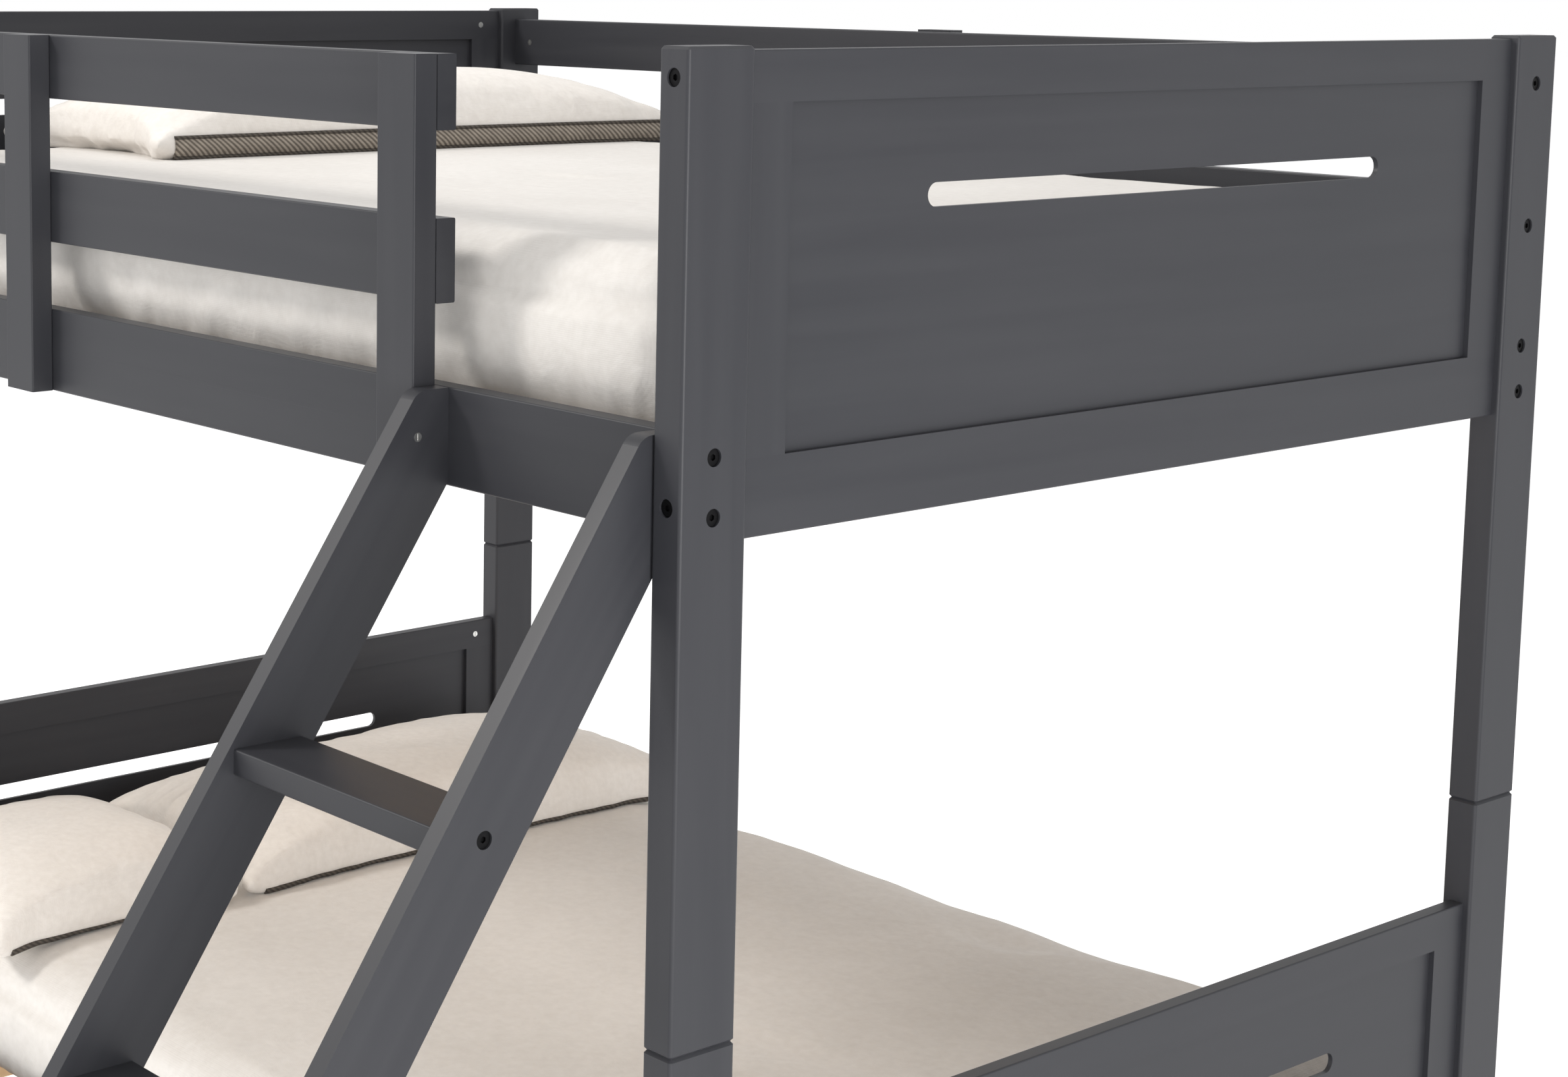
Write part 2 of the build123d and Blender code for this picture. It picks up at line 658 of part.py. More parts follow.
def main():
    """Write every sub-part of the bunk bed."""
    os.makedirs("parts", exist_ok=True)
    lower_screws = cleat_screws("lower") + slat_screws("lower")
    upper_screws = cleat_screws("upper") + slat_screws("upper") + guard_screws() + bracket_screws()
    lower_bolts = bed_bolts("lower")
    upper_bolts = bed_bolts("upper") + ladder_bolts()

    make_bunk("lower", lower_bolts, lower_screws)
    make_beam_legs()
    make_post_pins()
    make_glides()
    make_bunk("upper", upper_bolts, upper_screws)
    make_pillows()
    make_beam_brackets(bracket_screws())
    make_guard_boards(upper_bolts, upper_screws)
    make_guard_posts(guard_screws())
    for name in ("left", "right"):
        make_ladder_stile(name, ladder_bolts())
    make_treads(ladder_bolts())
    make_fastener_group("lower_bolts", add_bolt, lower_bolts)
    make_fastener_group("upper_bolts", add_bolt, upper_bolts)
    make_fastener_group("lower_barrel_nuts", add_nut, lower_bolts)
    make_fastener_group("upper_barrel_nuts", add_nut, upper_bolts)
    make_fastener_group("lower_wood_screws", add_screw, lower_screws)
    make_fastener_group("upper_wood_screws", add_screw, upper_screws)


main()
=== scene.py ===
import json
import math

import bmesh
import bpy
from mathutils import Matrix, Vector, noise
from mathutils.bvhtree import BVHTree


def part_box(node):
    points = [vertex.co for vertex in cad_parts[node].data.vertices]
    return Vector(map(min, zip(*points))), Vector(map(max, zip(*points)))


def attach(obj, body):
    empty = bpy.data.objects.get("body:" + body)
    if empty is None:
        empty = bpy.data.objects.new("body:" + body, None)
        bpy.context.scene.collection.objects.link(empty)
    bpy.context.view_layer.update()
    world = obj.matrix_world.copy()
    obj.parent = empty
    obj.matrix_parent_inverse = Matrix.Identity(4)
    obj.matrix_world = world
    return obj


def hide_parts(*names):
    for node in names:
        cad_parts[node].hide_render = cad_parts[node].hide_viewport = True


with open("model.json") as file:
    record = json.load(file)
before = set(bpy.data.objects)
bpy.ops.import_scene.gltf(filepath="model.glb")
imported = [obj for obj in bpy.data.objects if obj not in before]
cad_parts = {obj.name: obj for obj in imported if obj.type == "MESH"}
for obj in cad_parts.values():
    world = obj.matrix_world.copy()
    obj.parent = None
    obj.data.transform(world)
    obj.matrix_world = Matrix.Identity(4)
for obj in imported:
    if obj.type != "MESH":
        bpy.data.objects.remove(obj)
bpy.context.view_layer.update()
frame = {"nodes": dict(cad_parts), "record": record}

SLOTS = {row["node"]: row["material_slot"] for row in frame["record"]["subparts"]}

# Camera, in metres and degrees
CAMERA_AT = (2.898, -2.016, 1.808)
CAMERA_YAW = 51.0
CAMERA_PITCH = -7.45
CAMERA_ROLL = 0.57
CAMERA_LENS = 64.1
CAMERA_SHIFT = (0.185, -0.13)

# Mattress covers, in metres
MATTRESS_CELL = 0.016
COVER_EDGE = 0.088        # rounding of the cover before it swells
COVER_SHRINK = (0.010, 0.004, 0.006)
COVER_SEEDS = {"lower": (9.4, 2.2, 5.1), "upper": (3.1, 8.7, 1.3)}
GROOVE_DOWN = 0.052       # from the top to the middle of the groove around the sides
GROOVE_DEEP = 0.009
GROOVE_HALF = 0.013
FOLD_BROAD = 0.0095
FOLD_CROSS = 0.008
FOLD_FINE = 0.0042
PLEAT = 0.005
PUCKER = 0.0045
TUCK = 0.004
COVER_DROP = 0.005        # sinks the folds' crests back to the mattress's top
PILLOW_ZONE = 0.45        # folds stay low this far from the head end

# Pillows, in metres
PILLOW_CELL = 0.0085
UPPER_BAND_TALL = 0.036
WELT_AND_SHADE_TALL = 0.010         # narrow dark band of the lower bunk's pillows: partly a real welt, partly painted shade for the shadow line under them
PIPING_RADIUS = 0.0028
BAND_INSET = 0.035        # from each end of the pillow
BAND_COLUMNS, BAND_ROWS = 120, 8

SIM_FRAMES = 20
LADDER_LEAN = math.radians(34.5)

# Colours, linear
PAINT_DARK, PAINT_LIGHT = (0.031, 0.0315, 0.037), (0.038, 0.0385, 0.044)
PINE_EARLY, PINE_MIDDLE, PINE_LATE = (0.56, 0.38, 0.21), (0.70, 0.52, 0.33), (0.62, 0.43, 0.25)
COVER_LIGHT, COVER_DARK = (0.75, 0.724, 0.694), (0.685, 0.657, 0.624)
PILLOW_LIGHT, PILLOW_DARK = (0.85, 0.815, 0.775), (0.79, 0.75, 0.705)
TWILL_DARK, TWILL_LIGHT = (0.15, 0.127, 0.105), (0.42, 0.37, 0.31)
CORD_DARK, CORD_LIGHT = (0.05, 0.042, 0.035), (0.11, 0.094, 0.078)

# Lamps: place, target, size, watts, colour
MIDDLE = (0, 0.3, 0.9)
LAMPS = {
    "key": ((3.9, -1.0, 1.2), (0.9, 0.0, 1.0), 1.2, 68, (1.0, 0.99, 0.98)),
    "front": ((-2.6, -3.4, 4.3), MIDDLE, 1.0, 138, (1.0, 0.97, 0.93)),
    "top": ((0, 0.3, 5.2), MIDDLE, 4.5, 104, (1.0, 0.985, 0.965)),
}
FLOOR_GLOW = 0.52
FLOOR_HALF = 60.0


# ---------------------------------------------------------------- materials

def start_material(name):
    """Empty node material: (material, nodes, links, shader)."""
    mat = bpy.data.materials.new(name)
    mat.use_nodes = True
    nodes, links = mat.node_tree.nodes, mat.node_tree.links
    return mat, nodes, links, nodes["Principled BSDF"]


def object_mapping(nodes, links, scale=(1, 1, 1), rotation=(0, 0, 0)):
    """Row-frame coordinates in metres, turned and stretched."""
    coords = nodes.new("ShaderNodeTexCoord")
    mapping = nodes.new("ShaderNodeMapping")
    mapping.vector_type = "TEXTURE"
    mapping.inputs["Rotation"].default_value = rotation
    mapping.inputs["Scale"].default_value = [1 / s for s in scale]
    links.new(coords.outputs["Object"], mapping.inputs["Vector"])
    return mapping.outputs["Vector"]


def noise_tex(nodes, links, vector, scale, detail=4.0, distortion=0.0):
    """Noise texture's factor output."""
    tex = nodes.new("ShaderNodeTexNoise")
    tex.inputs["Scale"].default_value = scale
    tex.inputs["Detail"].default_value = detail
    tex.inputs["Distortion"].default_value = distortion
    links.new(vector, tex.inputs["Vector"])
    return tex.outputs["Fac"]


def wave_tex(nodes, links, vector, direction, scale, distortion=0.0):
    """Banded sine wave's factor output."""
    tex = nodes.new("ShaderNodeTexWave")
    tex.bands_direction = direction
    tex.inputs["Scale"].default_value = scale
    tex.inputs["Distortion"].default_value = distortion
    links.new(vector, tex.inputs["Vector"])
    return tex.outputs["Fac"]


def ramp(nodes, links, factor, stops):
    """Colour ramp from (position, colour) stops."""
    node = nodes.new("ShaderNodeValToRGB")
    elements = node.color_ramp.elements
    while len(elements) < len(stops):
        elements.new(0.5)
    for element, (position, colour) in zip(elements, stops):
        element.position = position
        element.color = (*colour, 1)
    links.new(factor, node.inputs["Fac"])
    return node.outputs["Color"]


def blend_colours(nodes, links, first, second, factor, mode="MIX"):
    """Mix of two colour sockets."""
    node = nodes.new("ShaderNodeMix")
    node.data_type = "RGBA"
    node.blend_type = mode
    node.inputs["Factor"].default_value = factor
    links.new(first, node.inputs["A"])
    links.new(second, node.inputs["B"])
    return node.outputs["Result"]


def math_node(nodes, links, operation, first, second):
    """Math node of two sockets, or of a socket and a number."""
    node = nodes.new("ShaderNodeMath")
    node.operation = operation
    links.new(first, node.inputs[0])
    if isinstance(second, (int, float)):
        node.inputs[1].default_value = second
    else:
        links.new(second, node.inputs[1])
    return node.outputs["Value"]


def to_range(nodes, links, factor, low, high):
    """Factor stretched from 0..1 to low..high."""
    node = nodes.new("ShaderNodeMapRange")
    node.inputs["To Min"].default_value = low
    node.inputs["To Max"].default_value = high
    links.new(factor, node.inputs["Value"])
    return node.outputs["Result"]


def add_bump(nodes, links, shader, heights):
    """Chain of bumps from (height socket, strength, distance) rows."""
    normal = None
    for height, strength, distance in heights:
        bump = nodes.new("ShaderNodeBump")
        bump.inputs["Strength"].default_value = strength
        bump.inputs["Distance"].default_value = distance
        links.new(height, bump.inputs["Height"])
        if normal is not None:
            links.new(normal, bump.inputs["Normal"])
        normal = bump.outputs["Normal"]
    links.new(normal, shader.inputs["Normal"])


def painted_wood(name, scale, rotation=(0, 0, 0)):
    """Satin slate-grey paint with the wood's grain showing through along the board."""
    mat, nodes, links, shader = start_material(name)
    along = object_mapping(nodes, links, scale, rotation)
    plain = object_mapping(nodes, links)
    grain = noise_tex(nodes, links, along, 1.0, 7.0, 0.4)
    patches = noise_tex(nodes, links, plain, 3.2, 3.0)
    peel = noise_tex(nodes, links, plain, 420.0, 2.0)
    streaks = ramp(nodes, links, grain, [(0.30, PAINT_DARK), (0.72, PAINT_LIGHT)])
    cloudy = ramp(nodes, links, patches, [(0.25, (0.93, 0.95, 0.95)), (0.8, (1.0, 1.0, 1.0))])
    colour = blend_colours(nodes, links, streaks, cloudy, 1.0, "MULTIPLY")
    links.new(colour, shader.inputs["Base Color"])
    links.new(to_range(nodes, links, grain, 0.36, 0.52), shader.inputs["Roughness"])
    shader.inputs["Specular IOR Level"].default_value = 0.26
    shader.inputs["Coat Weight"].default_value = 0.05
    shader.inputs["Coat Roughness"].default_value = 0.3
    add_bump(nodes, links, shader, [(grain, 0.12, 0.0007), (peel, 0.10, 0.0003)])
    return mat


def bare_pine():
    """Sanded pine with rings and darker latewood lines across the slats' length."""
    mat, nodes, links, shader = start_material("plain_pine")
    along = object_mapping(nodes, links, (26, 1.6, 40))
    rings = wave_tex(nodes, links, along, "X", 0.9, 5.0)
    fibres = noise_tex(nodes, links, object_mapping(nodes, links, (300, 8, 300)), 1.0, 3.0)
    knots = noise_tex(nodes, links, object_mapping(nodes, links, (5, 2.5, 5)), 1.0, 2.0)
    wood = ramp(nodes, links, rings, [(0.0, PINE_EARLY), (0.7, PINE_MIDDLE), (1.0, PINE_LATE)])
    shade = ramp(nodes, links, knots, [(0.3, (0.82, 0.78, 0.72)), (0.6, (1, 1, 1))])
    links.new(blend_colours(nodes, links, wood, shade, 1.0, "MULTIPLY"), shader.inputs["Base Color"])
    links.new(to_range(nodes, links, fibres, 0.55, 0.75), shader.inputs["Roughness"])
    add_bump(nodes, links, shader, [(fibres, 0.25, 0.0005)])
    return mat


def metal(name, colour, roughness, metallic=1.0):
    """Machined metal with fine scratches and patchy gloss."""
    mat, nodes, links, shader = start_material(name)
    scratches = noise_tex(nodes, links, object_mapping(nodes, links, (900, 900, 90)), 1.0, 3.0)
    smudges = noise_tex(nodes, links, object_mapping(nodes, links), 160.0, 2.0)
    dark = tuple(c * 0.8 for c in colour)
    links.new(ramp(nodes, links, smudges, [(0.3, dark), (0.7, colour)]), shader.inputs["Base Color"])
    gloss = to_range(nodes, links, scratches, roughness * 0.8, roughness * 1.3)
    links.new(gloss, shader.inputs["Roughness"])
    shader.inputs["Metallic"].default_value = metallic
    add_bump(nodes, links, shader, [(scratches, 0.15, 0.0002)])
    return mat


def glide_plastic():
    """Matt black moulded plastic."""
    mat, nodes, links, shader = start_material("glide_plastic")
    grain = noise_tex(nodes, links, object_mapping(nodes, links), 700.0, 2.0)
    colour = ramp(nodes, links, grain, [(0.3, (0.03, 0.03, 0.03)), (0.7, (0.05, 0.05, 0.05))])
    links.new(colour, shader.inputs["Base Color"])
    links.new(to_range(nodes, links, grain, 0.5, 0.7), shader.inputs["Roughness"])
    add_bump(nodes, links, shader, [(grain, 0.3, 0.0003)])
    return mat


def woven_cotton(name, light, dark, pitch, weave_strength, crumple):
    """Plain-weave cloth: crossing threads, slubs, soft crumples and uneven tone."""
    mat, nodes, links, shader = start_material(name)
    plain = object_mapping(nodes, links)
    threads_per_m = 1 / pitch
    wave_scale = threads_per_m * math.tau / 20
    slub = noise_tex(nodes, links, plain, threads_per_m / 6, 3.0)
    waves = [wave_tex(nodes, links, plain, axis, wave_scale, 0.6) for axis in "XYZ"]
    weave = math_node(nodes, links, "ADD", waves[0], waves[1])
    weave = math_node(nodes, links, "ADD", weave, waves[2])
    weave = math_node(nodes, links, "MULTIPLY", weave, 0.33)
    patches = noise_tex(nodes, links, plain, 2.6, 4.0, 0.3)
    creases = noise_tex(nodes, links, plain, 14.0, 5.0, 0.8)
    tone = ramp(nodes, links, patches, [(0.3, dark), (0.68, light)])
    thread_tone = ramp(nodes, links, slub, [(0.2, (0.90, 0.89, 0.88)), (0.7, (1, 1, 1))])
    links.new(blend_colours(nodes, links, tone, thread_tone, 0.8, "MULTIPLY"), shader.inputs["Base Color"])
    links.new(to_range(nodes, links, slub, 0.78, 0.95), shader.inputs["Roughness"])
    shader.inputs["Specular IOR Level"].default_value = 0.25
    shader.inputs["Sheen Weight"].default_value = 0.25
    shader.inputs["Sheen Roughness"].default_value = 0.5
    add_bump(nodes, links, shader, [
        (creases, crumple, 0.008),
        (weave, weave_strength, 0.0006),
        (slub, 0.25, 0.0005),
    ])
    return mat


def band_twill(name, dark, light):
    """Diagonal twill of the pillows' edge band and its pipings."""
    mat, nodes, links, shader = start_material(name)
    diagonal = object_mapping(nodes, links, rotation=(math.radians(52), 0, 0))
    twill = wave_tex(nodes, links, diagonal, "Y", 52.0, 0.5)
    rib = wave_tex(nodes, links, object_mapping(nodes, links), "Z", 80.0, 0.2)
    blotch = noise_tex(nodes, links, object_mapping(nodes, links), 60.0, 3.0)
    stripes = ramp(nodes, links, twill, [(0.25, dark), (0.75, light)])
    uneven = ramp(nodes, links, blotch, [(0.3, (0.75, 0.75, 0.75)), (0.7, (1, 1, 1))])
    links.new(blend_colours(nodes, links, stripes, uneven, 1.0, "MULTIPLY"), shader.inputs["Base Color"])
    links.new(to_range(nodes, links, blotch, 0.8, 0.95), shader.inputs["Roughness"])
    add_bump(nodes, links, shader, [(twill, 0.6, 0.0012), (rib, 0.3, 0.0006)])
    return mat


def board_direction(node):
    """Which way a painted board's grain runs: X, Y, Z or the ladder's lean."""
    if "ladder_stile" in node:
        return "lean"
    if "post" in node or "stiles" in node:
        return "Z"
    if "side_rail" in node or "guard" in node or "tread" in node:
        return "X"
    return "Y"


def dress_cad_nodes():
    """A procedural material on every CAD node that stays visible."""
    across, along = 34.0, 1.9
    paints = {
        "X": painted_wood("grey_paint_x", (along, across, across)),
        "Y": painted_wood("grey_paint_y", (across, along, across)),
        "Z": painted_wood("grey_paint_z", (across, across, along)),
        "lean": painted_wood("grey_paint_lean", (across, across, along), (-LADDER_LEAN, 0, 0)),
    }
    others = {
        "plain_pine": bare_pine(),
        "black_bolt": metal("black_bolt", (0.012, 0.012, 0.013), 0.5, 0.95),
        "bright_steel": metal("bright_steel", (0.78, 0.78, 0.76), 0.28),
        "bracket_steel": metal("bracket_steel", (0.60, 0.60, 0.59), 0.38),
        "glide_plastic": glide_plastic(),
    }
    for node, piece in frame["nodes"].items():
        slot = SLOTS[node]
        mat = paints[board_direction(node)] if slot == "grey_paint" else others.get(slot)
        if mat is None:
            continue
        piece.data.materials.clear()
        piece.data.materials.append(mat)


# --------------------------------------------------------------- mesh tools

def new_piece(name, verts, faces, mat):
    """Smooth-shaded mesh object."""
    mesh = bpy.data.meshes.new(name)
    mesh.from_pydata(verts, [], faces)
    mesh.validate()
    mesh.materials.append(mat)
    piece = bpy.data.objects.new(name, mesh)
    bpy.context.scene.collection.objects.link(piece)
    piece.data.polygons.foreach_set("use_smooth", [True] * len(mesh.polygons))
    return piece


def evaluated_mesh(piece):
    """Mesh of a piece with its modifiers applied."""
    graph = bpy.context.evaluated_depsgraph_get()
    return bpy.data.meshes.new_from_object(piece.evaluated_get(graph))


def apply_modifiers(piece):
    """Replace a piece's mesh by its modified one and drop the modifiers."""
    mesh = evaluated_mesh(piece)
    piece.modifiers.clear()
    piece.data = mesh
    piece.data.polygons.foreach_set("use_smooth", [True] * len(mesh.polygons))


def remesh(piece, cell):
    """Even quads all over, for the cloth solver."""
    mod = piece.modifiers.new("Remesh", "REMESH")
    mod.mode = "VOXEL"
    mod.voxel_size = cell
    mod.use_smooth_shade = True
    apply_modifiers(piece)


def inflate(piece, pressure, slack, cap, stiffness=12.0):
    """Cloth under inner pressure with spare fabric; no point moves further than the cap."""
    before = [v.co.copy() for v in piece.data.vertices]
    mod = piece.modifiers.new("Cloth", "CLOTH")
    settings = mod.settings
    settings.quality = 5
    settings.mass = 0.25
    settings.tension_stiffness = stiffness
    settings.compression_stiffness = stiffness
    settings.shear_stiffness = stiffness / 2
    settings.bending_stiffness = 0.6
    settings.shrink_min = -slack
    settings.use_pressure = True
    settings.uniform_pressure_force = pressure
    settings.effector_weights.gravity = 0
    mod.point_cache.frame_start = 1
    mod.point_cache.frame_end = SIM_FRAMES
    scene = bpy.context.scene
    for step in range(1, SIM_FRAMES + 1):
        scene.frame_set(step)
    apply_modifiers(piece)
    for vertex, start in zip(piece.data.vertices, before):
        move = vertex.co - start
        if move.length > cap:
            vertex.co = start + move.normalized() * cap
    scene.frame_set(1)


def smooth(piece, factor, repeat):
    """Even out the capped points."""
    mod = piece.modifiers.new("Smooth", "SMOOTH")
    mod.factor = factor
    mod.iterations = repeat
    apply_modifiers(piece)


def subdivide(piece):
    """One level of Catmull-Clark, applied."""
    mod = piece.modifiers.new("Subdivision", "SUBSURF")
    mod.levels = 1
    mod.render_levels = 1
    apply_modifiers(piece)


def displace(piece, height):
    """Move every point along its normal by height(point, normal)."""
    mesh = piece.data
    normals = [v.normal.copy() for v in mesh.vertices]
    for vertex, normal in zip(mesh.vertices, normals):
        vertex.co += normal * height(vertex.co, normal)
    mesh.update()


def keep_inside(piece, low, high):
    """Press points back into a box, which also flattens the underside."""
    for vertex in piece.data.vertices:
        for axis in range(3):
            vertex.co[axis] = min(max(vertex.co[axis], low[axis]), high[axis])
    piece.data.update()


def ease(value):
    """Smooth step from 0 to 1."""
    value = min(max(value, 0.0), 1.0)
    return value * value * (3 - 2 * value)


def ridge(point):
    """Noise folded into soft creases, from -1 to 1."""
    return 1 - 2 * abs(noise.noise(point))


# --------------------------------------------------------------- mattresses

def rounded_block(name, low, high, radius, cell, mat):
    """Box with fully rounded edges, as a grid on each of its six faces."""
    half = (high - low) / 2
    centre = (high + low) / 2
    verts, faces = [], []
    for axis in range(3):
        first, second = (axis + 1) % 3, (axis + 2) % 3
        n_first = max(2, round(2 * half[first] / cell))
        n_second = max(2, round(2 * half[second] / cell))
        for side in (-1, 1):
            base = len(verts)
            for i in range(n_first + 1):
                for j in range(n_second + 1):
                    point = Vector((0, 0, 0))
                    point[axis] = side * half[axis]
                    point[first] = -half[first] + 2 * half[first] * i / n_first
                    point[second] = -half[second] + 2 * half[second] * j / n_second
                    core = Vector(max(-h + radius, min(h - radius, p)) for h, p in zip(half, point))
                    out = point - core
                    verts.append(centre + core + out.normalized() * radius)
            for i in range(n_first):
                for j in range(n_second):
                    corner = base + i * (n_second + 1) + j
                    quad = (corner, corner + n_second + 1, corner + n_second + 2, corner + 1)
                    faces.append(quad if side > 0 else quad[::-1])
    piece = new_piece(name, verts, faces, mat)
    mesh = bmesh.new()
    mesh.from_mesh(piece.data)
    bmesh.ops.remove_doubles(mesh, verts=mesh.verts, dist=1e-5)
    mesh.to_mesh(piece.data)
    mesh.free()
    return piece


def make_mattress(bunk, mat):
    """Plump mattress in a soft cover, with broad folds and a puckered lower edge."""
    node = f"{bunk}_mattress"
    low, high = (Vector(corner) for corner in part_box(node))
    shrink = Vector(COVER_SHRINK)
    piece = rounded_block(f"{node}_cover", low + shrink, high - shrink, COVER_EDGE, MATTRESS_CELL, mat)
    remesh(piece, MATTRESS_CELL)
    inflate(piece, pressure=3.0, slack=0.035, cap=0.012)
    smooth(piece, 0.5, 2)
    subdivide(piece)
    seed = Vector(COVER_SEEDS[bunk])
    middle_z = (low.z + high.z) / 2
    groove_z = high.z - GROOVE_DOWN

    def folds(point, normal):
        up = max(normal.z, 0.0)
        side = 1 - abs(normal.z)
        drift = Vector((point.x * 1.5 + point.y * 0.9, point.y * 3.1 - point.x * 0.8, point.z)) + seed
        calm = 0.3 + 0.7 * ease((point.x - low.x - PILLOW_ZONE) / 0.3)
        broad = (ridge(drift) * FOLD_BROAD + ridge(drift * 2.3) * FOLD_CROSS) * up * calm
        fine = noise.noise(Vector((point.x * 6, point.y * 9, 1.7)) + seed) * FOLD_FINE * up
        run = point.x * 11 + point.y * 11
        pleats = ridge(Vector((run, point.z * 2.0, 0.4)) + seed) * PLEAT * side
        groove = -GROOVE_DEEP * math.exp(-((point.z - groove_z) / GROOVE_HALF) ** 2)
        tuck = -TUCK * ease((middle_z - point.z) / 0.09) * side
        puckers = ridge(Vector((run * 2.6, point.z * 3.0, 7.1)) + seed) * PUCKER * side
        puckers *= ease((middle_z - point.z) / 0.07)
        return broad + fine + pleats + groove + tuck + puckers - COVER_DROP

    displace(piece, folds)
    room = Vector((0.008, 0.004, 0))
    keep_inside(piece, low - room, high + room + Vector((0, 0, 0.001)))
    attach(piece, f"{bunk}_mattress_body")
    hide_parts(node)


# ------------------------------------------------------------------ pillows

def pillow_shell(name, low, high, mat):
    """Pillow body: crowned top, sides drawn in, pinched corners, a boxed edge towards the foot."""
    half_x, half_y = (high.x - low.x) / 2, (high.y - low.y) / 2
    tall = high.z - low.z
    centre = (low + high) / 2
    seam = UPPER_BAND_TALL / 2
    rows, columns = 40, max(40, round(80 * half_y / half_x / 2))

    def outline(u, v):
        draw_x = 1 - 0.045 * (1 - v * v) * abs(u) ** 3
        draw_y = 1 - 0.05 * (1 - u * u) * abs(v) ** 3
        return centre.x + half_x * u * draw_x, centre.y + half_y * v * draw_y

    def crown(u, v):
        return ((1 - abs(u) ** 2.3) * (1 - abs(v) ** 3.2)) ** 0.62

    def rim(u, v):
        boxed = ease((u + 0.2) / 1.2) * (1 - abs(v) ** 10)
        return 0.004 + (seam - 0.006) * boxed

    verts, faces, index = [], [], {}
    for layer in (1, -1):
        for i in range(rows + 1):
            for j in range(columns + 1):
                u, v = -1 + 2 * i / rows, -1 + 2 * j / columns
                x, y = outline(u, v)
                if layer > 0:
                    z = low.z + seam + rim(u, v) + (tall - 2 * seam) * crown(u, v)
                else:
                    z = low.z + seam - rim(u, v) - (seam - 0.002) * min(1.0, crown(u, v) * 2.2)
                index[layer, i, j] = len(verts)
                verts.append((x, y, max(z, low.z + 0.0005)))
    for i in range(rows):
        for j in range(columns):
            around = [(i, j), (i + 1, j), (i + 1, j + 1), (i, j + 1)]
            faces.append([index[1, *key] for key in around])
            faces.append([index[-1, *key] for key in (around[0], *around[:0:-1])])
    loop = [(i, 0) for i in range(rows)] + [(rows, j) for j in range(columns)]
    loop += [(i, columns) for i in range(rows, 0, -1)] + [(0, j) for j in range(columns, 0, -1)]
    for here, after in zip(loop, loop[1:] + loop[:1]):
        faces.append([index[1, *here], index[-1, *here], index[-1, *after], index[1, *after]])
    return new_piece(name, verts, faces, mat)


def make_band(name, pillow, low, high, mats, tall):
    """Woven band and its two pipings on the pillow's foot-facing edge."""
    tree = BVHTree.FromObject(pillow, bpy.context.evaluated_depsgraph_get())
    columns, rows = BAND_COLUMNS, BAND_ROWS
    verts, faces = [], []
    for i in range(columns + 1):
        y = low.y + BAND_INSET + (high.y - low.y - 2 * BAND_INSET) * i / columns
        for j in range(rows + 1):
            z = low.z + 0.003 + tall * j / rows
            hit = tree.ray_cast(Vector((high.x + 0.2, y, z)), Vector((-1, 0, 0)))[0]
            swell = 0.0022 * math.sin(math.pi * j / rows) + 0.0012
            x = (hit.x if hit else high.x) + swell
            verts.append(Vector((x, y, z)))
    for i in range(columns + 1):
        column = verts[i * (rows + 1):(i + 1) * (rows + 1)]
        widest = max(point.x for point in column)
        for point in column:
            point.x = max(point.x, widest - 0.007)
    for i in range(columns):
        for j in range(rows):
            corner = i * (rows + 1) + j
            faces.append((corner, corner + rows + 1, corner + rows + 2, corner + 1))
    band = new_piece(name, verts, faces, mats[0])
    thick = band.modifiers.new("Solidify", "SOLIDIFY")
    thick.thickness = 0.0025
    thick.offset = -1
    apply_modifiers(band)
    smooth(band, 0.5, 2)
    band.parent = pillow
    for label, row in (("low", 0), ("high", rows)):
        points = [verts[i * (rows + 1) + row] for i in range(columns + 1)]
        make_piping(f"{name}_piping_{label}", points, pillow, mats[1])


def make_piping(name, points, pillow, mat):
    """Round sewn cord along an edge of the band."""
    curve = bpy.data.curves.new(name, "CURVE")
    curve.dimensions = "3D"
    curve.bevel_depth = PIPING_RADIUS
    curve.bevel_resolution = 3
    curve.use_fill_caps = True
    spline = curve.splines.new("NURBS")
    spline.points.add(len(points) - 1)
    for target, point in zip(spline.points, points):
        target.co = (*point, 1)
    spline.order_u = 3
    spline.use_endpoint_u = True
    source = bpy.data.objects.new(name, curve)
    bpy.context.scene.collection.objects.link(source)
    mesh = evaluated_mesh(source)
    bpy.data.objects.remove(source)
    mesh.materials.clear()
    mesh.materials.append(mat)
    piping = bpy.data.objects.new(name, mesh)
    bpy.context.scene.collection.objects.link(piping)
    piping.parent = pillow


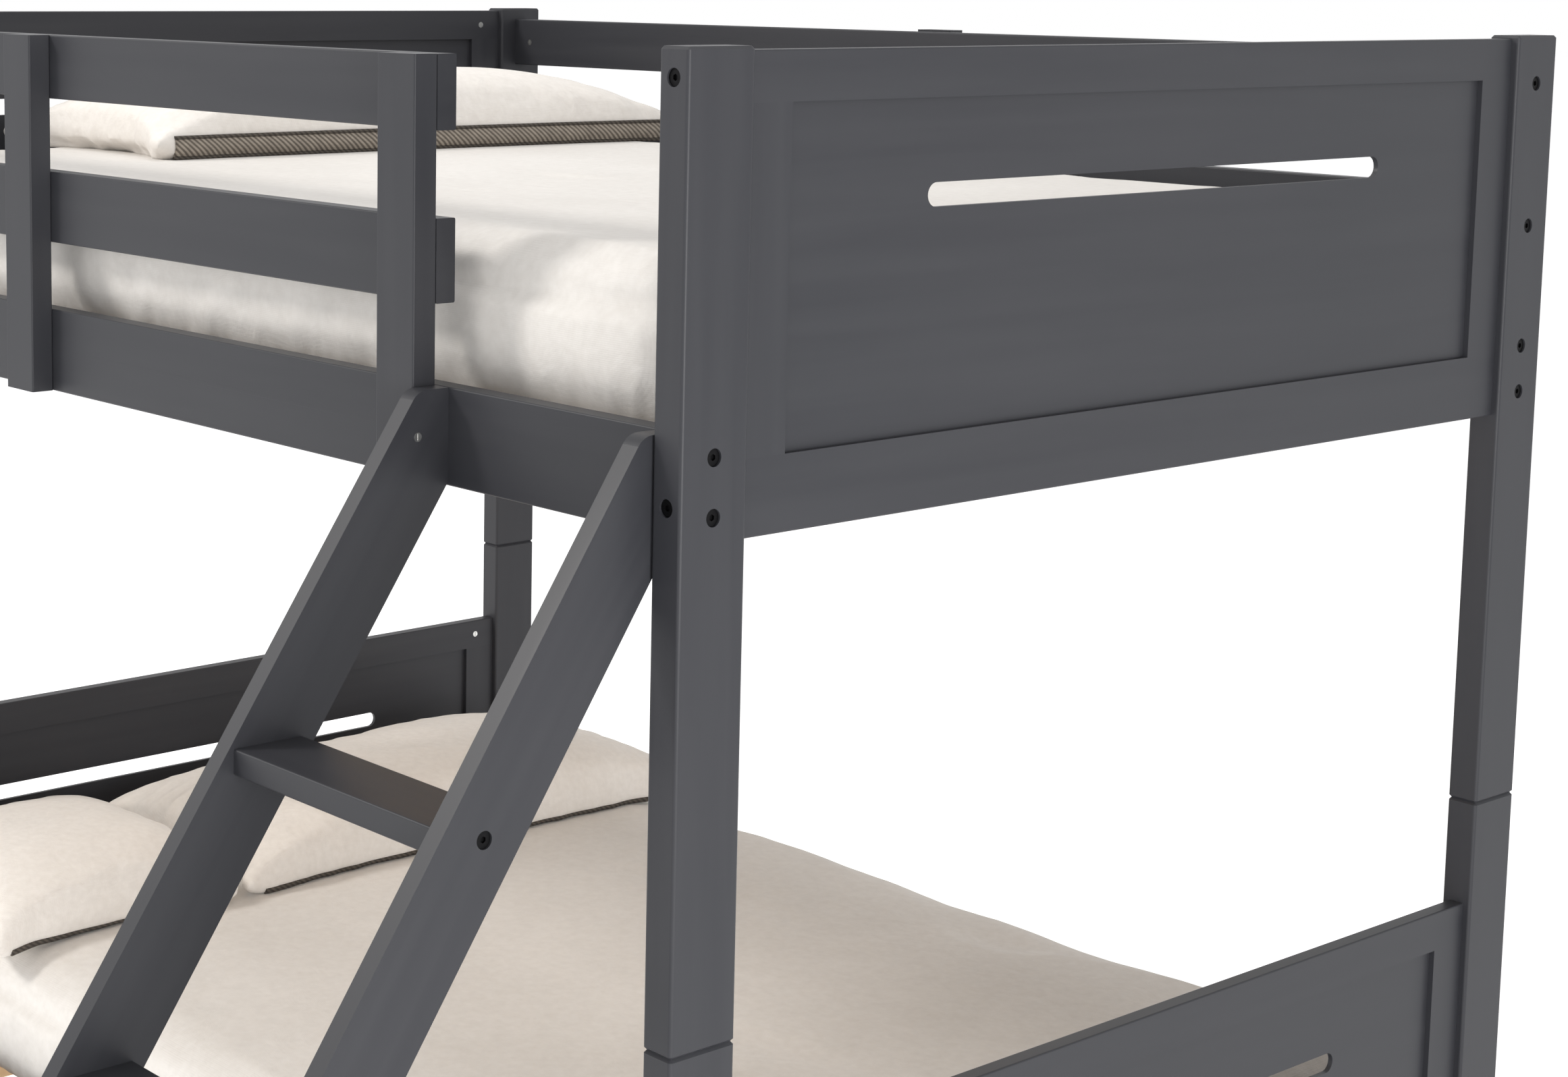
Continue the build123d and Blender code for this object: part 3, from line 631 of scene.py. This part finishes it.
def make_pillow(node, cotton, twill, cord, seed):
    """Pillow with gathered ends and a woven band along one edge."""
    low, high = (Vector(corner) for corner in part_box(node))
    margin = Vector((0.008, 0.008, 0.0))
    start_high = high - margin - Vector((0, 0, 0.010))
    piece = pillow_shell(f"{node}_case", low + margin, start_high, cotton)
    remesh(piece, PILLOW_CELL)
    inflate(piece, pressure=2.5, slack=0.05, cap=0.010, stiffness=8.0)
    smooth(piece, 0.5, 2)
    subdivide(piece)
    length = high.y - low.y
    offset = Vector((seed * 3.7, seed * 1.9, seed * 5.3))

    def gathers(point, normal):
        end = min(point.y - low.y, high.y - point.y)
        near_end = 1 - ease(end / (0.22 * min(length, 0.9)))
        near_head = 1 - ease((point.x - low.x) / 0.16)
        lines = ridge(Vector((point.x * 22, point.y * 3.0, point.z * 5)) + offset) * near_end
        cross = ridge(Vector((point.x * 3.0, point.y * 18, point.z * 5)) + offset) * near_head
        near_foot = 1 - ease((high.x - point.x) / 0.13)
        pulls = ridge(Vector((point.x * 2.0, point.y * 16, point.z * 4)) + offset) * near_foot
        soft = noise.noise(Vector((point.x * 5, point.y * 4, point.z * 4)) + offset)
        crease = ridge(Vector((point.x * 6, point.y * 5, 2.0)) + offset)
        swell = (0.0055 * soft + 0.003 * crease) * max(normal.z, 0)
        return 0.0055 * lines + 0.0040 * cross + 0.0028 * pulls + swell - 0.002

    displace(piece, gathers)
    keep_inside(piece, (low.x, low.y, low.z), (high.x - 0.004, high.y, high.z + 0.004))
    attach(piece, f"{node}_body")
    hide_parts(node)
    # On the lower pillows the narrow dark welt and its cords are partly a real welt and partly painted
    # shade for the shadow line under the pillows.
    tall = UPPER_BAND_TALL if node == "upper_pillow" else WELT_AND_SHADE_TALL
    make_band(f"{node}_band", piece, low, high, (twill, cord), tall - 0.006)


def make_bedding():
    """Mattress covers and pillows of both bunks."""
    cover = woven_cotton("cover_cloth", COVER_LIGHT, COVER_DARK, 0.0022, 0.30, 0.40)
    cotton = woven_cotton("pillow_cloth", PILLOW_LIGHT, PILLOW_DARK, 0.0018, 0.35, 0.45)
    twill = band_twill("band_twill", TWILL_DARK, TWILL_LIGHT)
    cord = band_twill("piping_twill", CORD_DARK, CORD_LIGHT)
    for bunk in ("lower", "upper"):
        make_mattress(bunk, cover)
    pillows = sorted(node for node in frame["nodes"] if "pillow" in node)
    for seed, node in enumerate(pillows, start=1):
        make_pillow(node, cotton, twill, cord, seed)


# -------------------------------------------------------------------- stage

def make_floor():
    """Very large pale plain floor."""
    mat, nodes, links, shader = start_material("studio_floor")
    speckle = noise_tex(nodes, links, object_mapping(nodes, links), 4.0, 3.0)
    tone = ramp(nodes, links, speckle, [(0.3, (0.86, 0.86, 0.86)), (0.7, (0.88, 0.88, 0.88))])
    links.new(tone, shader.inputs["Base Color"])
    shader.inputs["Roughness"].default_value = 0.9
    shader.inputs["Emission Color"].default_value = (1, 1, 1, 1)
    shader.inputs["Emission Strength"].default_value = FLOOR_GLOW
    corners = [(x * FLOOR_HALF, y * FLOOR_HALF, 0) for x, y in ((-1, -1), (1, -1), (1, 1), (-1, 1))]
    new_piece("studio_floor", corners, [(0, 1, 2, 3)], mat)


def area_light(name, place, target, size, power, colour):
    """Soft square light aimed at a point."""
    data = bpy.data.lights.new(name, "AREA")
    data.shape = "SQUARE"
    data.size = size
    data.energy = power
    data.color = colour
    lamp = bpy.data.objects.new(name, data)
    lamp.location = place
    lamp.rotation_euler = (Vector(target) - Vector(place)).to_track_quat("-Z", "Y").to_euler()
    bpy.context.scene.collection.objects.link(lamp)


def make_studio():
    """Bright even surround, dimmer overhead, with the lamps of the table above."""
    world = bpy.data.worlds.new("studio")
    world.use_nodes = True
    nodes, links = world.node_tree.nodes, world.node_tree.links
    coords = nodes.new("ShaderNodeTexCoord")
    split = nodes.new("ShaderNodeSeparateXYZ")
    links.new(coords.outputs["Generated"], split.inputs["Vector"])
    surround = ramp(nodes, links, split.outputs["Z"], [(0.35, (1.0, 1.0, 1.0)), (0.85, (0.30, 0.30, 0.30))])
    links.new(surround, nodes["Background"].inputs["Color"])
    scene = bpy.context.scene
    scene.world = world
    scene.view_settings.view_transform = "Standard"
    for name, lamp in LAMPS.items():
        area_light(name, *lamp)


def make_camera():
    """Camera of a close view of the upper foot corner, from the ladder side."""
    data = bpy.data.cameras.new("camera")
    data.sensor_width = 36
    data.lens = CAMERA_LENS
    data.shift_x, data.shift_y = CAMERA_SHIFT
    data.clip_end = 200
    camera = bpy.data.objects.new("camera", data)
    turn = Matrix.Rotation(math.radians(CAMERA_YAW), 4, "Z")
    tip = Matrix.Rotation(math.radians(90 + CAMERA_PITCH), 4, "X")
    roll = Matrix.Rotation(math.radians(CAMERA_ROLL), 4, "Z")
    camera.matrix_world = Matrix.Translation(CAMERA_AT) @ turn @ tip @ roll
    bpy.context.scene.collection.objects.link(camera)
    bpy.context.scene.camera = camera


make_camera()
dress_cad_nodes()
make_bedding()
make_floor()
make_studio()
